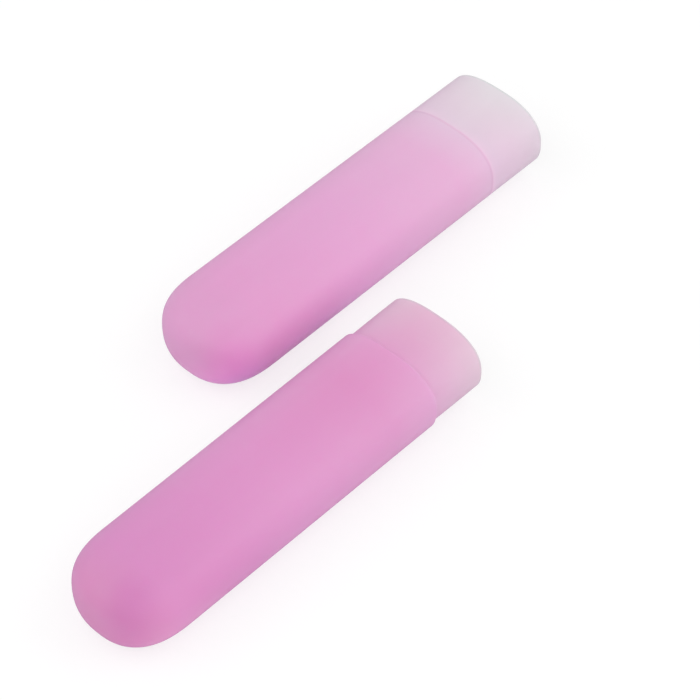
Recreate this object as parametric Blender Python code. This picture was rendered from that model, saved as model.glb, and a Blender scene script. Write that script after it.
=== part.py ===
"""Travel holder in two halves of frosted plastic, which push together end to end.

The long body has a stepped-in neck at its mouth. The cap has a thinner-walled socket at its mouth, which slides over
that neck until the two outer faces meet flush. Here the cap is off and lies beside the body, as such a case is put
down when it is open. Both lie on a wide side, with their mouths towards +X.

Metres, +Z up. The body lies along +X. The origin is on the surface that both halves lie on, under the body's axis,
midway between the body's closed end and its shoulder.
"""

import math

import bmesh
import bpy

# Outer section, where the two halves meet

SEAM_WIDTH = 0.0300
SEAM_HEIGHT = 0.0208
SECTION_POWER = 2.5  # 2 is an ellipse, and more is squarer
REST_FLAT_WIDTH = 0.0060  # the narrow flat along the middle of each wide side

# Lengths of the halves

BODY_LENGTH = 0.0960  # closed end to shoulder
NECK_LENGTH = 0.0164  # shoulder to mouth
CAP_LENGTH = 0.1130  # closed end to mouth
BODY_DRAFT = math.radians(0.3)  # on each side, seen from above
CAP_DRAFT = math.radians(0.0)

# Rounded closed ends

END_DEPTH = 0.0168
END_PLAN_POWER = 2.5  # roundness seen from above
END_SIDE_POWER = 3.2  # roundness seen from the side, which is blunter

# Walls and the joint between the halves

WALL = 0.0016
NECK_STEP = 0.00065  # how far the neck stands in from the body's outer face, at the shoulder
NECK_BEAD = 0.0001  # how much wider the neck is near its mouth, which is what grips
NECK_BEAD_START = 0.0110  # from the shoulder
PUSH_FIT = 0.00005  # room on each side between the neck's widest part and the socket
SOCKET_END_ROOM = 0.0020  # between the neck's mouth and the socket's end, when closed
EDGE_ROUND = 0.0002  # on the rims
SHOULDER_ROUND = 0.00045  # on the shoulder, which is softer

# Where the open cap lies

CAP_SIDE_GAP = 0.0108  # between the two halves, side to side
CAP_AHEAD = 0.0684  # how far the cap's closed end lies ahead of the body's
MEET_GAP = 0.0030  # between the two rims when the cap is turned round to face the body's mouth

# Fineness of the meshes

QUARTER_STEPS = 13  # round each quarter of a section
END_STEPS = 8  # along a closed end
ROUND_STEPS = 3  # round an edge
STRAIGHT_STEPS = 5  # along a straight stretch

PLASTIC_COLOR = (0.720, 0.305, 0.584, 1.0)
PLASTIC_ROUGHNESS = 0.45


def section(width, height, flat):
    """Points (y, z) round an oval with a flat of the given width in the middle of its top and of its bottom."""
    half_width = width / 2
    half_height = height / 2
    flat_share = flat / width
    full_height = half_height / (1 - flat_share**SECTION_POWER) ** (1 / SECTION_POWER)
    last_angle = math.atan2(half_height / full_height, flat_share)
    quarter = []
    for step in range(QUARTER_STEPS + 1):
        angle = last_angle * step / QUARTER_STEPS
        across, up = math.cos(angle), math.sin(angle)
        reach = (across**SECTION_POWER + up**SECTION_POWER) ** (-1 / SECTION_POWER)
        quarter.append((half_width * across * reach, full_height * up * reach))
    top = quarter + [(-y, z) for y, z in reversed(quarter)]
    bottom = [(y, -z) for y, z in reversed(top[1:-1])]
    return top + bottom


def end_scales(power_plan, power_side):
    """For each ring of a closed end, from its tip: how far along it lies, and its width and height as shares."""
    rings = []
    for step in range(1, END_STEPS + 1):
        angle = math.pi / 2 * step / END_STEPS
        back, out = math.cos(angle), math.sin(angle)
        reach = (back**power_plan + out**power_plan) ** (-1 / power_plan)
        left = back * reach
        rings.append((1 - left, out * reach, (1 - left**power_side) ** (1 / power_side)))
    return rings


def drafted(length, draft, inset):
    """A function that gives a half's width and height at x, with its walls stood in by inset."""

    def size_at(x):
        width = SEAM_WIDTH - 2 * (length - x) * math.tan(draft)
        return width - 2 * inset, SEAM_HEIGHT - 2 * inset

    return size_at


def closed_end(size_at, tip):
    """Rings (x, width, height, flat) from the tip of a closed end to where its straight part starts."""
    rings = []
    for along, wide, high in end_scales(END_PLAN_POWER, END_SIDE_POWER):
        x = tip + along * (END_DEPTH - tip)
        width, height = size_at(x)
        rings.append((x, width * wide, height * high, REST_FLAT_WIDTH * wide))
    return rings


def straight(size_at, start, stop):
    """Rings along a straight stretch, with both of its ends."""
    rings = []
    for step in range(STRAIGHT_STEPS + 1):
        x = start + (stop - start) * step / STRAIGHT_STEPS
        rings.append((x, *size_at(x), REST_FLAT_WIDTH))
    return rings


def rounded_edge(x, width, height, radius, outside):
    """Rings round an edge at x. The outside edge turns in towards the end face, and the inside edge turns out of it."""
    rings = []
    for step in range(ROUND_STEPS + 1):
        angle = math.pi / 2 * step / ROUND_STEPS
        back = radius * (1 - math.sin(angle))
        drop = radius * (1 - math.cos(angle))
        shrink = -drop if outside else drop
        rings.append((x - back, width + 2 * shrink, height + 2 * shrink, REST_FLAT_WIDTH))
    return rings if outside else rings[::-1]


def body_rings():
    """The body from the tip of its outer face, over the shoulder and the mouth, to the tip of its inner face."""
    outer = drafted(BODY_LENGTH, BODY_DRAFT, 0)
    inner = drafted(BODY_LENGTH, BODY_DRAFT, WALL)
    mouth = BODY_LENGTH + NECK_LENGTH
    bead_inset = NECK_STEP - NECK_BEAD
    neck_width, neck_height = SEAM_WIDTH - 2 * NECK_STEP, SEAM_HEIGHT - 2 * NECK_STEP
    rim_width, rim_height = SEAM_WIDTH - 2 * bead_inset, SEAM_HEIGHT - 2 * bead_inset
    bore_width, bore_height = SEAM_WIDTH - 2 * WALL, SEAM_HEIGHT - 2 * WALL
    rings = closed_end(outer, 0)
    rings += straight(outer, END_DEPTH, BODY_LENGTH - SHOULDER_ROUND)[1:-1]
    rings += rounded_edge(BODY_LENGTH, SEAM_WIDTH, SEAM_HEIGHT, SHOULDER_ROUND, outside=True)
    rings.append((BODY_LENGTH, neck_width, neck_height, REST_FLAT_WIDTH))
    rings.append((BODY_LENGTH + NECK_BEAD_START, rim_width, rim_height, REST_FLAT_WIDTH))
    rings += rounded_edge(mouth, rim_width, rim_height, EDGE_ROUND, outside=True)
    rings += rounded_edge(mouth, bore_width, bore_height, EDGE_ROUND, outside=False)
    rings.append((BODY_LENGTH, bore_width, bore_height, REST_FLAT_WIDTH))
    rings += straight(inner, BODY_LENGTH, END_DEPTH)[1:-1]
    rings += closed_end(inner, WALL)[::-1]
    return rings


def cap_rings():
    """The cap from the tip of its outer face, over the mouth and down the socket, to the tip of its inner face."""
    outer = drafted(CAP_LENGTH, CAP_DRAFT, 0)
    inner = drafted(CAP_LENGTH, CAP_DRAFT, WALL)
    socket_inset = NECK_STEP - NECK_BEAD - PUSH_FIT
    socket_width, socket_height = SEAM_WIDTH - 2 * socket_inset, SEAM_HEIGHT - 2 * socket_inset
    socket_end = CAP_LENGTH - NECK_LENGTH - SOCKET_END_ROOM
    rings = closed_end(outer, 0)
    rings += straight(outer, END_DEPTH, CAP_LENGTH - EDGE_ROUND)[1:-1]
    rings += rounded_edge(CAP_LENGTH, SEAM_WIDTH, SEAM_HEIGHT, EDGE_ROUND, outside=True)
    rings += rounded_edge(CAP_LENGTH, socket_width, socket_height, EDGE_ROUND, outside=False)
    rings.append((socket_end, socket_width, socket_height, REST_FLAT_WIDTH))
    rings += straight(inner, socket_end, END_DEPTH)[:-1]
    rings += closed_end(inner, WALL)[::-1]
    return rings


def loft(name, rings, outer_tip, inner_tip):
    """One closed mesh through the rings, shut by a fan at each tip."""
    mesh = bpy.data.meshes.new(name)
    shape = bmesh.new()
    loops = [[shape.verts.new((x, y, z)) for y, z in section(width, height, flat)] for x, width, height, flat in rings]
    count = len(loops[0])
    for near, far in zip(loops, loops[1:]):
        for k in range(count):
            shape.faces.new((near[k], far[k], far[(k + 1) % count], near[(k + 1) % count]))
    for tip, loop in ((outer_tip, loops[0]), (inner_tip, loops[-1])):
        pole = shape.verts.new((tip, 0, 0))
        for k in range(count):
            shape.faces.new((pole, loop[k], loop[(k + 1) % count]))
    bmesh.ops.recalc_face_normals(shape, faces=shape.faces)
    shape.to_mesh(mesh)
    shape.free()
    mesh.shade_smooth()
    mesh.set_sharp_from_angle(angle=math.radians(35))
    return mesh


def plastic(name):
    """The frosted plastic of one half."""
    material = bpy.data.materials.new(name)
    material.use_nodes = True
    shader = material.node_tree.nodes["Principled BSDF"]
    shader.inputs["Base Color"].default_value = PLASTIC_COLOR
    shader.inputs["Roughness"].default_value = PLASTIC_ROUGHNESS
    shader.inputs["Metallic"].default_value = 0.0
    return material


def half(name, rings, tip_place, parent):
    """One half as an object. tip_place is where the tip of its closed end lies, on the half's axis."""
    mesh = loft(name, rings, 0, WALL)
    mesh.materials.append(plastic(name + "_plastic"))
    piece = bpy.data.objects.new(name, mesh)
    bpy.context.collection.objects.link(piece)
    piece.parent = parent
    origin = parent.location if parent else (0, 0, 0)
    piece.location = [place - start for place, start in zip(tip_place, origin)]
    return piece


def cap_turn_axis(cap_tip):
    """An empty on the upright axis about which half a turn brings the cap's mouth in line with the body's."""
    facing_tip = BODY_LENGTH / 2 + NECK_LENGTH + MEET_GAP + CAP_LENGTH
    empty = bpy.data.objects.new("cap_turn_axis", None)
    empty.location = ((cap_tip[0] + facing_tip) / 2, cap_tip[1] / 2, 0)
    bpy.context.collection.objects.link(empty)
    return empty


def build():
    for old in list(bpy.data.objects):
        bpy.data.objects.remove(old)
    body_tip = (-BODY_LENGTH / 2, 0, SEAM_HEIGHT / 2)
    cap_tip = (body_tip[0] + CAP_AHEAD, SEAM_WIDTH + CAP_SIDE_GAP, SEAM_HEIGHT / 2)
    half("case_body", body_rings(), body_tip, None)
    half("case_cap", cap_rings(), cap_tip, cap_turn_axis(cap_tip))


build()
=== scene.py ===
"""Looks of the travel holder: both halves of the case in frosted, translucent pink plastic, on a white sweep.

Each half is one shell. Its rings are worked out from the CAD's own sizes, and a Geometry Nodes tree spans the oval
wall over them. Metres, in the CAD's frame: +X towards the mouths, +Y towards the cap, +Z up.
"""

import math

import bpy
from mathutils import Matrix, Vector


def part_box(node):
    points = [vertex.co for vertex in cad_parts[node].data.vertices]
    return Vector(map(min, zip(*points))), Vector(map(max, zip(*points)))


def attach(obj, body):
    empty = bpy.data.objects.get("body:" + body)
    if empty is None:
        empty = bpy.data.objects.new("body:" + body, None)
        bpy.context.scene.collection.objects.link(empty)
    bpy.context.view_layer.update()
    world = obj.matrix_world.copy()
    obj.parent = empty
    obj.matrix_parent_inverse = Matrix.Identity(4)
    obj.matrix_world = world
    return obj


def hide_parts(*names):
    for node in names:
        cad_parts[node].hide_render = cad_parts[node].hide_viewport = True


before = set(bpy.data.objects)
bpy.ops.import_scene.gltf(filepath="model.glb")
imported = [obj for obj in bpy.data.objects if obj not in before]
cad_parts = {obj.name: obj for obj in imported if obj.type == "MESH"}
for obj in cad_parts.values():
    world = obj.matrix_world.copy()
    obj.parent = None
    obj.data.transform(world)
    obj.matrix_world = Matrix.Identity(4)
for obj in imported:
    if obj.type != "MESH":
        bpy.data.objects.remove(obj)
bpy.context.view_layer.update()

MM_PER_M = 1000

# Camera, fitted to the outlines of both halves in the photograph

CAMERA_TARGET = Vector((0.04825, 0.01292, 0.0110))
CAMERA_DISTANCE = 0.67687
CAMERA_ELEVATION = 47.40  # degrees
CAMERA_HEADING = 42.93  # degrees from +X towards +Y
CAMERA_LENS = 146.93  # mm
SENSOR_WIDTH = 36.0  # mm
CLIP_NEAR, CLIP_FAR = 0.01, 20.0

# Outer section where the two halves meet

SEAM_WIDTH = 0.0300
SEAM_HEIGHT = 0.0208
SECTION_POWER = 2.5  # 2 is an ellipse, and more is squarer

# Lengths of the halves

BODY_LENGTH = 0.0960  # closed end to shoulder
NECK_LENGTH = 0.0164  # shoulder to mouth
CAP_LENGTH = 0.1130  # closed end to mouth
SOCKET_DEPTH = 0.0184  # from the cap's mouth to the step inside it
BODY_DRAFT = math.radians(0.3)  # on each side, seen from above

# Rounded closed ends

END_DEPTH = 0.0168
END_PLAN_POWER = 2.5
END_SIDE_POWER = 3.2

# Walls and the joint between the halves

WALL = 0.0016
NECK_INSET = 0.00065  # at the shoulder
RIM_INSET = 0.00055  # at the neck's mouth, which is what grips
BEAD_START = 0.0110  # from the shoulder
SOCKET_INSET = 0.0005
EDGE_ROUND = 0.0002
SHOULDER_ROUND = 0.00045
CORNER_ROUND = 0.00015  # in the inside corners

# Fineness of the shells

STEPS_ROUND = 160
END_STEPS = 36
EDGE_STEPS = 5
STRAIGHT_STEPS = 26
MERGE_DISTANCE = 0.000002

# Dye. Each stop is a distance from the half's mouth, in mm, and the colour there

BODY_DYE = (
    (0.8, (0.767, 0.499, 0.639)),  # neck, at its mouth
    (15.3, (0.772, 0.387, 0.611)),  # neck, at the shoulder
    (16.6, (0.778, 0.357, 0.615)),  # full wall, at the shoulder
    (30.0, (0.763, 0.314, 0.584)),
    (60.0, (0.762, 0.327, 0.608)),
    (100.0, (0.719, 0.292, 0.576)),
    (112.4, (0.675, 0.281, 0.509)),  # closed end
)
CAP_DYE = (
    (0.8, (0.761, 0.722, 0.749)),  # thin socket, at its mouth
    (18.5, (0.970, 0.668, 0.834)),  # thin socket, at its step
    (19.3, (0.807, 0.597, 0.745)),  # full wall
    (30.0, (0.818, 0.488, 0.704)),
    (60.0, (0.810, 0.420, 0.680)),
    (95.0, (0.795, 0.379, 0.645)),
    (113.0, (0.732, 0.368, 0.608)),  # closed end
)

# Thin lines round a half: how far the line lies from the mouth, half its width, both in mm, and its tint

RIM_LINE = (0.0, 0.4, (0.86, 0.95, 0.90))
SHOULDER_LINE = (16.1, 0.15, (1.07, 1.10, 1.075))  # lifts the inside corner, where little light reaches
SOCKET_LINE = (18.9, 0.15, (0.90, 0.86, 0.90))  # the step inside, which shows through the wall a little behind it
LINE_BLUR = 0.35  # mm

# Leans of the dye, and painted light: the side that each grows towards, in degrees from +Y towards +Z, or None
# for both flanks, the tint there, the distances from the mouth, in mm, where it is full and where it has faded,
# and how closely it keeps to that side. Those towards 210 and 215 degrees are painted light, which lightens the
# low -Y side towards the closed ends against the shade there, on the cap mostly the shade of the body

# the first makes both flanks paler towards the mouth; the second is painted light, lighter low on the -Y side
# towards the closed end, against the shade there
BODY_LEANS_AND_PAINTED_LIGHT = ((None, (1.0, 1.22, 1.08), 8.0, 100.0, 1.5), (210.0, (1.16, 1.25, 1.11), 112.0, 75.0, 1.8))
CAP_LEANS_AND_PAINTED_LIGHT = (
    (None, (1.0, 0.88, 0.96), 8.0, 40.0, 1.5),
    # these two are painted light, lighter low on the -Y side, against the shade that the body casts on the cap
    # there
    (210.0, (1.26, 1.22, 1.27), 90.0, 28.0, 2.5),
    (215.0, (1.20, 1.16, 1.24), 112.0, 96.0, 1.0),
)

# Soft, deeper spot on each closed end: its distance from the mouth, its place across, its radius, all in mm, and
# its tint

BODY_SPOT = (108.3, -7.6, 9.0, (0.95, 0.83, 0.955))
CAP_SPOT = (109.0, -11.0, 10.0, (1.0, 0.90, 0.975))

# Grain of the plastic: noises, as features per metre, and how much each of them does

CLOUDS = 55.0
CLOUD_DEPTH = 0.05
FLOW = (14.0, 190.0, 190.0)  # streaks along each half, left by the moulding
FLOW_DEPTH = 0.035
FROST = 5200.0
FROST_BUMP = 0.10
RIPPLE = 420.0
RIPPLE_BUMP = 0.05
BUMP_HEIGHT = 0.00004
ROUGHNESS_SPREAD = 0.10
FINE_DETAIL = 2.0  # octaves of a noise
PLAIN_DETAIL = 1.0

PLASTIC_ROUGHNESS = 0.52
PLASTIC_IOR = 1.49
GLOSS_LEVEL = 0.5
DEPTH_RADIUS = (0.0018, 0.0018, 0.0018)  # how far light spreads inside the wall
INSIDE_DEPTH_TIMES = 5.0  # how many times further it does so under the inner faces, so that the wall lets it in
INSIDE_DYE_POWER = 1.25  # the power that the dye's colour is raised to there, so that they still look pink
SLANT_WEIGHT = 0.5  # the film that darkens the wall where it is seen at a slant
SLANT_TINT = (0.925, 0.90, 0.93, 1)
SLANT_IOR = 1.002
SLANT_ROUGHNESS = 0.6

# Studio

FLOOR_HALF = 1.6  # half of its side
FLOOR_TONE = 0.98
FLOOR_ROUGHNESS = 0.9
FLOOR_GLOW_SHARE = 0.7
FLOOR_GLOW = 1.03
SURROUND = 0.70
AIM = Vector((0.05, 0.02, 0.0))
SOFTBOXES = (  # name, heading, height above the horizon, side in m, power in W
    ("softbox_camera_side", 225.0, 40.0, 0.9, 2.0),
    ("softbox_right", 315.0, 40.0, 0.9, 2.2),
    ("softbox_left", 135.0, 40.0, 0.9, 2.0),
)
SOFTBOX_DISTANCE = 1.0


def ring(x, inset, loss=0.0):
    """A ring (x, width, height) that stands in by inset from the outer face, and is narrower by the loss."""
    return x, SEAM_WIDTH - 2 * inset - loss, SEAM_HEIGHT - 2 * inset


def width_loss(x, draft_length):
    """How much narrower a half is at x, where its draft starts at draft_length. None means no draft."""
    return 0.0 if draft_length is None else 2 * (draft_length - x) * math.tan(BODY_DRAFT)


def arc(x, inset, radius, start, stop):
    """Rings round an edge or a corner, from start to stop in quarter turns: 0 faces the mouth, 1 the outside."""
    rings = []
    for step in range(EDGE_STEPS + 1):
        angle = math.pi / 2 * (start + (stop - start) * step / EDGE_STEPS)
        rings.append(ring(x + radius * math.cos(angle), inset - radius * math.sin(angle)))
    return rings


def straight(start, stop, inset, draft_length=None):
    """Rings along a straight stretch. With draft_length, the width narrows from there towards the closed end."""
    rings = []
    for step in range(STRAIGHT_STEPS + 1):
        x = start + (stop - start) * step / STRAIGHT_STEPS
        rings.append(ring(x, inset, width_loss(x, draft_length)))
    return rings


def closed_end(tip, inset, draft_length=None):
    """Rings of a rounded closed end, from its tip to where the straight part starts."""
    rings = [(tip, 0.0, 0.0)]
    for step in range(1, END_STEPS + 1):
        angle = math.pi / 2 * step / END_STEPS
        back, out = math.cos(angle), math.sin(angle)
        reach = (back**END_PLAN_POWER + out**END_PLAN_POWER) ** (-1 / END_PLAN_POWER)
        left = back * reach
        x = tip + (1 - left) * (END_DEPTH - tip)
        _, width, height = ring(x, inset, width_loss(x, draft_length))
        share_up = (1 - left**END_SIDE_POWER) ** (1 / END_SIDE_POWER)
        rings.append((x, width * out * reach, height * share_up))
    return rings


def body_rings():
    """The body from its outer tip, over the shoulder and the mouth, to its inner tip."""
    mouth = BODY_LENGTH + NECK_LENGTH
    rings = closed_end(0.0, 0.0, BODY_LENGTH)
    rings += straight(END_DEPTH, BODY_LENGTH - 2 * SHOULDER_ROUND, 0.0, BODY_LENGTH)[1:]
    rings += arc(BODY_LENGTH - SHOULDER_ROUND, SHOULDER_ROUND, SHOULDER_ROUND, 1, 0)
    rings += arc(BODY_LENGTH + CORNER_ROUND, NECK_INSET - CORNER_ROUND, CORNER_ROUND, 2, 3)
    rings.append(ring(BODY_LENGTH + 3 * CORNER_ROUND, NECK_INSET))
    rings += straight(BODY_LENGTH + BEAD_START, mouth - 2 * EDGE_ROUND, RIM_INSET)
    rings += arc(mouth - EDGE_ROUND, RIM_INSET + EDGE_ROUND, EDGE_ROUND, 1, 0)
    rings += arc(mouth - EDGE_ROUND, WALL - EDGE_ROUND, EDGE_ROUND, 0, -1)
    rings += straight(mouth - 2 * EDGE_ROUND, BODY_LENGTH, WALL)
    rings += straight(BODY_LENGTH, END_DEPTH, WALL, BODY_LENGTH)[1:]
    rings += closed_end(WALL, WALL, BODY_LENGTH)[:-1][::-1]
    return rings


def cap_rings():
    """The cap from its outer tip, over the mouth and down the socket, to its inner tip."""
    step = CAP_LENGTH - SOCKET_DEPTH
    rings = closed_end(0.0, 0.0)
    rings += straight(END_DEPTH, CAP_LENGTH - 2 * EDGE_ROUND, 0.0)[1:]
    rings += arc(CAP_LENGTH - EDGE_ROUND, EDGE_ROUND, EDGE_ROUND, 1, 0)
    rings += arc(CAP_LENGTH - EDGE_ROUND, SOCKET_INSET - EDGE_ROUND, EDGE_ROUND, 0, -1)
    rings += straight(CAP_LENGTH - 2 * EDGE_ROUND, step + 3 * CORNER_ROUND, SOCKET_INSET)
    rings += arc(step + CORNER_ROUND, SOCKET_INSET + CORNER_ROUND, CORNER_ROUND, 1, 2)
    rings += arc(step - EDGE_ROUND, WALL - EDGE_ROUND, EDGE_ROUND, 0, -1)
    rings += straight(step - 2 * EDGE_ROUND, END_DEPTH, WALL)
    rings += closed_end(WALL, WALL)[:-1][::-1]
    return rings


def new_node(tree, kind, operation=None, **settings):
    """A node of the given kind in the tree, with its operation and its other settings."""
    node = tree.nodes.new(kind)
    if operation:
        node.operation = operation
    for name, value in settings.items():
        setattr(node, name, value)
    return node


def maths(tree, operation, *values):
    """The output of one Math node. Each value is a number or the output of another node."""
    node = new_node(tree, "ShaderNodeMath", operation)
    for socket, value in zip(node.inputs, values):
        if isinstance(value, (int, float)):
            socket.default_value = value
        else:
            tree.links.new(value, socket)
    return node.outputs[0]


def shell_tree():
    """A tree that spans an oval wall over rings. Its geometry has one point for each ring, at the ring's x."""
    tree = bpy.data.node_groups.new("oval_shell", "GeometryNodeTree")
    sockets = tree.interface
    sockets.new_socket("Rings", in_out="INPUT", socket_type="NodeSocketGeometry")
    sockets.new_socket("Steps Round", in_out="INPUT", socket_type="NodeSocketInt")
    sockets.new_socket("Section Power", in_out="INPUT", socket_type="NodeSocketFloat")
    sockets.new_socket("Merge Distance", in_out="INPUT", socket_type="NodeSocketFloat")
    sockets.new_socket("Tip Place", in_out="INPUT", socket_type="NodeSocketVector")
    sockets.new_socket("Plastic", in_out="INPUT", socket_type="NodeSocketMaterial")
    sockets.new_socket("Shell", in_out="OUTPUT", socket_type="NodeSocketGeometry")
    given = tree.nodes.new("NodeGroupInput").outputs
    link = tree.links.new

    counted = new_node(tree, "GeometryNodeAttributeDomainSize", component="MESH")
    link(given["Rings"], counted.inputs["Geometry"])
    last_ring = maths(tree, "SUBTRACT", counted.outputs["Point Count"], 1)

    grid = new_node(tree, "GeometryNodeMeshGrid")
    link(last_ring, grid.inputs["Size X"])
    link(given["Steps Round"], grid.inputs["Size Y"])
    link(counted.outputs["Point Count"], grid.inputs["Vertices X"])
    link(maths(tree, "ADD", given["Steps Round"], 1), grid.inputs["Vertices Y"])
    grid_place = new_node(tree, "ShaderNodeSeparateXYZ")
    link(tree.nodes.new("GeometryNodeInputPosition").outputs[0], grid_place.inputs[0])
    from_first = maths(tree, "ADD", grid_place.outputs["X"], maths(tree, "DIVIDE", last_ring, 2))
    ring_number = maths(tree, "ROUND", from_first)
    turn = maths(tree, "ADD", maths(tree, "DIVIDE", grid_place.outputs["Y"], given["Steps Round"]), 0.5)
    angle = maths(tree, "MULTIPLY", turn, math.tau)

    def of_ring(value):
        sample = new_node(tree, "GeometryNodeSampleIndex", data_type="FLOAT", domain="POINT")
        link(given["Rings"], sample.inputs["Geometry"])
        link(value, sample.inputs["Value"])
        link(ring_number, sample.inputs["Index"])
        return sample.outputs["Value"]

    def named(name):
        node = new_node(tree, "GeometryNodeInputNamedAttribute", data_type="FLOAT")
        node.inputs["Name"].default_value = name
        return of_ring(node.outputs["Attribute"])

    ring_place = new_node(tree, "ShaderNodeSeparateXYZ")
    link(tree.nodes.new("GeometryNodeInputPosition").outputs[0], ring_place.inputs[0])

    across, up = maths(tree, "COSINE", angle), maths(tree, "SINE", angle)
    power = given["Section Power"]
    across_power = maths(tree, "POWER", maths(tree, "ABSOLUTE", across), power)
    up_power = maths(tree, "POWER", maths(tree, "ABSOLUTE", up), power)
    total = maths(tree, "ADD", across_power, up_power)
    reach = maths(tree, "POWER", total, maths(tree, "DIVIDE", -1, power))
    half_reach = maths(tree, "MULTIPLY", reach, 0.5)
    place = new_node(tree, "ShaderNodeCombineXYZ")
    link(of_ring(ring_place.outputs["X"]), place.inputs["X"])
    sideways = maths(tree, "MULTIPLY", named("ring_width"), maths(tree, "MULTIPLY", across, half_reach))
    upwards = maths(tree, "MULTIPLY", named("ring_height"), maths(tree, "MULTIPLY", up, half_reach))
    link(sideways, place.inputs["Y"])
    link(upwards, place.inputs["Z"])
    moved = new_node(tree, "ShaderNodeVectorMath", "ADD")
    link(place.outputs[0], moved.inputs[0])
    link(given["Tip Place"], moved.inputs[1])

    unwrapped = new_node(tree, "GeometryNodeStoreNamedAttribute", data_type="FLOAT2", domain="CORNER")
    unwrapped.inputs["Name"].default_value = "UVMap"
    link(grid.outputs["Mesh"], unwrapped.inputs["Geometry"])
    link(grid.outputs["UV Map"], unwrapped.inputs["Value"])
    shaped = unwrapped.outputs[0]
    kept = (
        ("from_mouth_mm", named("from_mouth_mm")),
        ("inside", named("inside")),
        ("side_mm", maths(tree, "MULTIPLY", sideways, MM_PER_M)),
        ("height_mm", maths(tree, "MULTIPLY", upwards, MM_PER_M)),
    )
    for name, value in kept:
        store = new_node(tree, "GeometryNodeStoreNamedAttribute", data_type="FLOAT", domain="POINT")
        store.inputs["Name"].default_value = name
        link(shaped, store.inputs["Geometry"])
        link(value, store.inputs["Value"])
        shaped = store.outputs[0]
    spread = new_node(tree, "GeometryNodeSetPosition")
    link(shaped, spread.inputs["Geometry"])
    link(moved.outputs[0], spread.inputs["Position"])
    merged = new_node(tree, "GeometryNodeMergeByDistance")
    link(spread.outputs[0], merged.inputs["Geometry"])
    link(given["Merge Distance"], merged.inputs["Distance"])
    smoothed = new_node(tree, "GeometryNodeSetShadeSmooth")
    link(merged.outputs[0], smoothed.inputs["Geometry"])
    real = new_node(tree, "GeometryNodeRealizeInstances")
    link(smoothed.outputs[0], real.inputs["Geometry"])
    dressed = new_node(tree, "GeometryNodeSetMaterial")
    link(real.outputs[0], dressed.inputs["Geometry"])
    link(given["Plastic"], dressed.inputs["Material"])
    link(dressed.outputs[0], tree.nodes.new("NodeGroupOutput").inputs["Shell"])
    return tree


def make_half(name, rings, tip_place, tree, plastic):
    """One half as a plain mesh object, spanned by the tree over its rings."""
    mesh = bpy.data.meshes.new(name + "_rings")
    mesh.from_pydata([(x, 0, 0) for x, _, _ in rings], [], [])
    mouth = max(x for x, _, _ in rings)
    outer_rim = [x for x, _, _ in rings].index(mouth)
    columns = {
        "ring_width": [width for _, width, _ in rings],
        "ring_height": [height for _, _, height in rings],
        "from_mouth_mm": [MM_PER_M * (mouth - x) for x, _, _ in rings],
        "inside": [float(place > outer_rim) for place in range(len(rings))],  # 1 on the inner faces, otherwise 0
    }
    for column, values in columns.items():
        mesh.attributes.new(column, "FLOAT", "POINT").data.foreach_set("value", values)
    carrier = bpy.data.objects.new(name + "_rings", mesh)
    bpy.context.scene.collection.objects.link(carrier)
    span = carrier.modifiers.new("shell", "NODES")
    span.node_group = tree
    sockets = {item.name: item.identifier for item in tree.interface.items_tree if item.in_out == "INPUT"}
    span[sockets["Steps Round"]] = STEPS_ROUND
    span[sockets["Section Power"]] = SECTION_POWER
    span[sockets["Merge Distance"]] = MERGE_DISTANCE
    span[sockets["Tip Place"]] = tip_place
    span[sockets["Plastic"]] = plastic
    graph = bpy.context.evaluated_depsgraph_get()
    shell = bpy.data.meshes.new_from_object(carrier.evaluated_get(graph))
    shell.name = name
    piece = bpy.data.objects.new(name, shell)
    bpy.context.scene.collection.objects.link(piece)
    bpy.data.objects.remove(carrier)
    bpy.data.meshes.remove(mesh)
    return piece


def tint(tree, color, share, hue):
    """The color, with a share of it multiplied by the hue."""
    mix = new_node(tree, "ShaderNodeMix", data_type="RGBA", blend_type="MULTIPLY", clamp_factor=True)
    factor, first, second = (socket for socket in mix.inputs if socket.enabled)
    tree.links.new(share, factor)
    tree.links.new(color, first)
    second.default_value = (*hue, 1)
    return next(socket for socket in mix.outputs if socket.enabled)


def fade(tree, value, full, gone, course="SMOOTHSTEP"):
    """1 where the value is at full or beyond it, fading to 0 where the value is at gone."""
    node = new_node(tree, "ShaderNodeMapRange", interpolation_type=course)
    tree.links.new(value, node.inputs["Value"])
    node.inputs["From Min"].default_value = min(full, gone)
    node.inputs["From Max"].default_value = max(full, gone)
    node.inputs["To Min"].default_value = float(full < gone)
    node.inputs["To Max"].default_value = float(full > gone)
    return node.outputs["Result"]


def dye_along(tree, from_mouth, dye):
    """The dye's colour at a distance from the mouth."""
    longest = dye[-1][0]
    ramp = new_node(tree, "ShaderNodeValToRGB")
    tree.links.new(maths(tree, "DIVIDE", from_mouth, longest), ramp.inputs["Fac"])
    stops = ramp.color_ramp.elements
    while len(stops) < len(dye):
        stops.new(0.5)
    for stop, (distance, color) in zip(stops, dye):
        stop.position = distance / longest
        stop.color = (*color, 1)
    return ramp.outputs["Color"]


def line_share(tree, from_mouth, middle, half_width):
    """1 on a thin line round the half, and 0 away from it."""
    away = maths(tree, "ABSOLUTE", maths(tree, "SUBTRACT", from_mouth, middle))
    return fade(tree, away, half_width, half_width + LINE_BLUR, "LINEAR")


def spot_share(tree, from_mouth, side_mm, middle, across, radius):
    """1 in the middle of a soft round spot, and 0 outside it."""
    ahead = maths(tree, "SUBTRACT", from_mouth, middle)
    aside = maths(tree, "SUBTRACT", side_mm, across)
    squares = maths(tree, "ADD", maths(tree, "MULTIPLY", ahead, ahead), maths(tree, "MULTIPLY", aside, aside))
    return fade(tree, maths(tree, "SQRT", squares), 0.0, radius)


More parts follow.
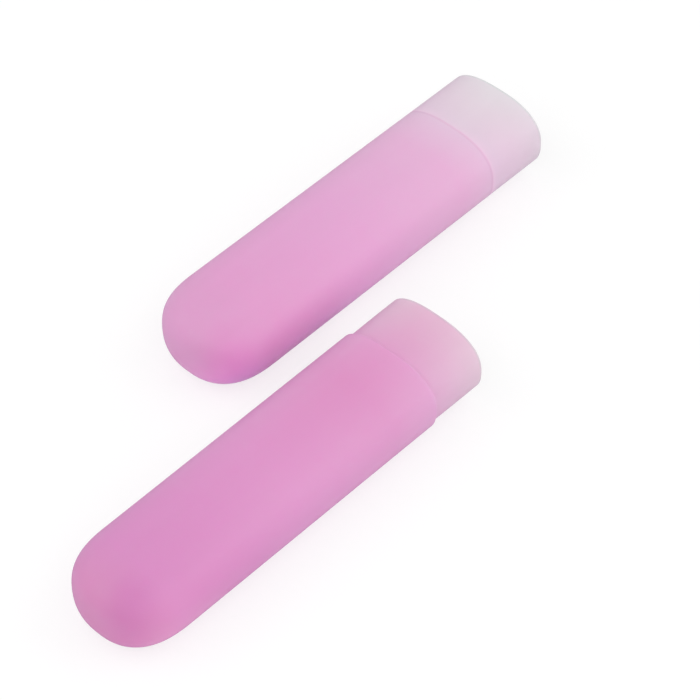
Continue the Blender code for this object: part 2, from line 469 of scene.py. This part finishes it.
def lean_and_painted_light_share(tree, from_mouth, side, height, towards, full, faded, power):
    """How strong a lean of the dye, or a patch of the painted light, is at a place: its side's share, times its
    fading along the half.
    """
    if towards is None:
        reach = maths(tree, "ABSOLUTE", side)
    else:
        across = maths(tree, "MULTIPLY", side, math.cos(math.radians(towards)))
        upwards = maths(tree, "MULTIPLY", height, math.sin(math.radians(towards)))
        reach = maths(tree, "MAXIMUM", maths(tree, "ADD", across, upwards), 0)
    return maths(tree, "MULTIPLY", maths(tree, "POWER", reach, power), fade(tree, from_mouth, full, faded))


def noise(tree, scale, detail, stretch=(1, 1, 1)):
    """The output of a noise in the object's own coordinates, between 0 and 1."""
    mapping = new_node(tree, "ShaderNodeMapping")
    mapping.inputs["Scale"].default_value = stretch
    tree.links.new(new_node(tree, "ShaderNodeTexCoord").outputs["Object"], mapping.inputs["Vector"])
    texture = new_node(tree, "ShaderNodeTexNoise")
    texture.inputs["Scale"].default_value = scale
    texture.inputs["Detail"].default_value = detail
    tree.links.new(mapping.outputs[0], texture.inputs["Vector"])
    return texture.outputs["Fac"]


def swing(tree, value, depth):
    """A noise turned into a factor about 1, which swings by the given depth."""
    return maths(tree, "ADD", maths(tree, "MULTIPLY", maths(tree, "SUBTRACT", value, 0.5), depth), 1)


def bump(tree, height, strength, below=None):
    """A bump node's normal for the height, on top of another bump's normal."""
    node = new_node(tree, "ShaderNodeBump")
    node.inputs["Strength"].default_value = strength
    node.inputs["Distance"].default_value = BUMP_HEIGHT
    tree.links.new(height, node.inputs["Height"])
    if below:
        tree.links.new(below, node.inputs["Normal"])
    return node.outputs[0]


def value_kept(tree, name):
    """A value that the shell keeps at each of its points."""
    return new_node(tree, "ShaderNodeAttribute", attribute_name=name).outputs["Fac"]


def frosted_plastic(name, dye, lines, leans_and_painted_light, spot):
    """Frosted translucent pink plastic, whose dye looks deep at the closed end and pale where the wall is thin,
    and whose colour also carries painted light low on one side against the shade there.
    """
    material = bpy.data.materials.new(name)
    material.use_nodes = True
    tree = material.node_tree
    shader = tree.nodes["Principled BSDF"]

    from_mouth = value_kept(tree, "from_mouth_mm")
    side_mm = value_kept(tree, "side_mm")
    side = maths(tree, "DIVIDE", side_mm, MM_PER_M * SEAM_WIDTH / 2)
    height = maths(tree, "DIVIDE", value_kept(tree, "height_mm"), MM_PER_M * SEAM_HEIGHT / 2)
    color = dye_along(tree, from_mouth, dye)
    for middle, half_width, hue in lines:
        color = tint(tree, color, line_share(tree, from_mouth, middle, half_width), hue)
    # leans of the dye, and painted light that lightens the low -Y side against shade
    for towards, hue, full, faded, power in leans_and_painted_light:
        color = tint(tree, color, lean_and_painted_light_share(tree, from_mouth, side, height, towards, full, faded, power), hue)
    middle, across, radius, hue = spot
    color = tint(tree, color, spot_share(tree, from_mouth, side_mm, middle, across, radius), hue)
    uneven = new_node(tree, "ShaderNodeHueSaturation")
    tree.links.new(color, uneven.inputs["Color"])
    tree.links.new(swing(tree, noise(tree, CLOUDS, FINE_DETAIL), CLOUD_DEPTH), uneven.inputs["Saturation"])
    tree.links.new(swing(tree, noise(tree, 1.0, FINE_DETAIL, FLOW), FLOW_DEPTH), uneven.inputs["Value"])
    inside = value_kept(tree, "inside")
    dyed = new_node(tree, "ShaderNodeGamma")
    tree.links.new(uneven.outputs[0], dyed.inputs["Color"])
    deeper = maths(tree, "MULTIPLY", inside, INSIDE_DYE_POWER - 1)
    tree.links.new(maths(tree, "ADD", deeper, 1.0), dyed.inputs["Gamma"])
    tree.links.new(dyed.outputs[0], shader.inputs["Base Color"])

    frost = noise(tree, FROST, FINE_DETAIL)
    ripple = noise(tree, RIPPLE, PLAIN_DETAIL)
    tree.links.new(bump(tree, frost, FROST_BUMP, bump(tree, ripple, RIPPLE_BUMP)), shader.inputs["Normal"])
    worn = maths(tree, "MULTIPLY", swing(tree, ripple, ROUGHNESS_SPREAD), PLASTIC_ROUGHNESS)
    tree.links.new(worn, shader.inputs["Roughness"])

    shader.inputs["IOR"].default_value = PLASTIC_IOR
    shader.inputs["Specular IOR Level"].default_value = GLOSS_LEVEL
    shader.inputs["Subsurface Weight"].default_value = 1.0
    shader.inputs["Subsurface Radius"].default_value = DEPTH_RADIUS
    further = maths(tree, "MULTIPLY", inside, INSIDE_DEPTH_TIMES - 1)
    tree.links.new(maths(tree, "ADD", further, 1.0), shader.inputs["Subsurface Scale"])
    shader.inputs["Coat Weight"].default_value = SLANT_WEIGHT
    shader.inputs["Coat Roughness"].default_value = SLANT_ROUGHNESS
    shader.inputs["Coat IOR"].default_value = SLANT_IOR
    shader.inputs["Coat Tint"].default_value = SLANT_TINT
    return material


def seen_rays(tree):
    """1 for the rays that show the background, the camera's and those seen in gloss, and 0 for the rest."""
    rays = new_node(tree, "ShaderNodeLightPath").outputs
    return maths(tree, "MAXIMUM", rays["Is Camera Ray"], rays["Is Glossy Ray"])


def pointing(heading, height):
    """A unit vector. The heading is in degrees from +X towards +Y, and the height in degrees above the horizon."""
    turn, rise = math.radians(heading), math.radians(height)
    return Vector((math.cos(rise) * math.cos(turn), math.cos(rise) * math.sin(turn), math.sin(rise)))


def make_stage():
    """The white sweep, which keeps a soft shadow of the two halves."""
    mesh = bpy.data.meshes.new("white_sweep")
    corners = [(x * FLOOR_HALF, y * FLOOR_HALF, 0) for x, y in ((-1, -1), (1, -1), (1, 1), (-1, 1))]
    mesh.from_pydata(corners, [], [(0, 1, 2, 3)])
    floor = bpy.data.objects.new("white_sweep", mesh)
    bpy.context.scene.collection.objects.link(floor)
    material = bpy.data.materials.new("sweep_paper")
    material.use_nodes = True
    tree = material.node_tree
    shader = tree.nodes["Principled BSDF"]
    shader.inputs["Base Color"].default_value = (FLOOR_TONE, FLOOR_TONE, FLOOR_TONE, 1)
    shader.inputs["Roughness"].default_value = FLOOR_ROUGHNESS
    shader.inputs["Specular IOR Level"].default_value = 0.0
    glow = new_node(tree, "ShaderNodeEmission")
    glow.inputs["Strength"].default_value = FLOOR_GLOW
    mix = new_node(tree, "ShaderNodeMixShader")
    tree.links.new(maths(tree, "MULTIPLY", seen_rays(tree), FLOOR_GLOW_SHARE), mix.inputs[0])
    tree.links.new(shader.outputs[0], mix.inputs[1])
    tree.links.new(glow.outputs[0], mix.inputs[2])
    tree.links.new(mix.outputs[0], tree.nodes["Material Output"].inputs["Surface"])
    floor.data.materials.append(material)


def make_lights():
    """Large softboxes all round, as in a light tent, and a white surround."""
    world = bpy.data.worlds.new("studio")
    bpy.context.scene.world = world
    world.use_nodes = True
    tree = world.node_tree
    back = tree.nodes["Background"]
    back.inputs["Color"].default_value = (1, 1, 1, 1)
    strength = maths(tree, "ADD", maths(tree, "MULTIPLY", seen_rays(tree), 1 - SURROUND), SURROUND)
    tree.links.new(strength, back.inputs["Strength"])
    for name, heading, height, side, power in SOFTBOXES:
        lamp = bpy.data.lights.new(name, "AREA")
        lamp.shape = "SQUARE"
        lamp.size = side
        lamp.energy = power
        towards = pointing(heading, height)
        box = bpy.data.objects.new(name, lamp)
        box.location = AIM + SOFTBOX_DISTANCE * towards
        box.rotation_euler = towards.to_track_quat("Z", "Y").to_euler()
        bpy.context.scene.collection.objects.link(box)


def make_camera():
    """The photograph's view."""
    ahead = pointing(CAMERA_HEADING, -CAMERA_ELEVATION)
    lens = bpy.data.cameras.new("photo_view")
    lens.lens = CAMERA_LENS
    lens.sensor_width = SENSOR_WIDTH
    lens.clip_start = CLIP_NEAR
    lens.clip_end = CLIP_FAR
    camera = bpy.data.objects.new("photo_view", lens)
    camera.location = CAMERA_TARGET - CAMERA_DISTANCE * ahead
    camera.rotation_euler = ahead.to_track_quat("-Z", "Y").to_euler()
    bpy.context.scene.collection.objects.link(camera)
    bpy.context.scene.camera = camera


def tip_of(node):
    """Where the tip of a half's closed end lies, on its axis, from the CAD node's box."""
    low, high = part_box(node)
    return low[0], (low[1] + high[1]) / 2, (low[2] + high[2]) / 2


oval_shell = shell_tree()
body_plastic = frosted_plastic("body_frosted_plastic", BODY_DYE, (RIM_LINE, SHOULDER_LINE), BODY_LEANS_AND_PAINTED_LIGHT, BODY_SPOT)
cap_plastic = frosted_plastic("cap_frosted_plastic", CAP_DYE, (RIM_LINE, SOCKET_LINE), CAP_LEANS_AND_PAINTED_LIGHT, CAP_SPOT)
body = make_half("body_shell", body_rings(), tip_of("case_body"), oval_shell, body_plastic)
cap = make_half("cap_shell", cap_rings(), tip_of("case_cap"), oval_shell, cap_plastic)
for piece, node, rides in ((body, "case_body", "body"), (cap, "case_cap", "cap")):
    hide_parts(node)
    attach(piece, rides)
make_stage()
make_lights()
make_camera()
bpy.context.scene.view_settings.view_transform = "Standard"
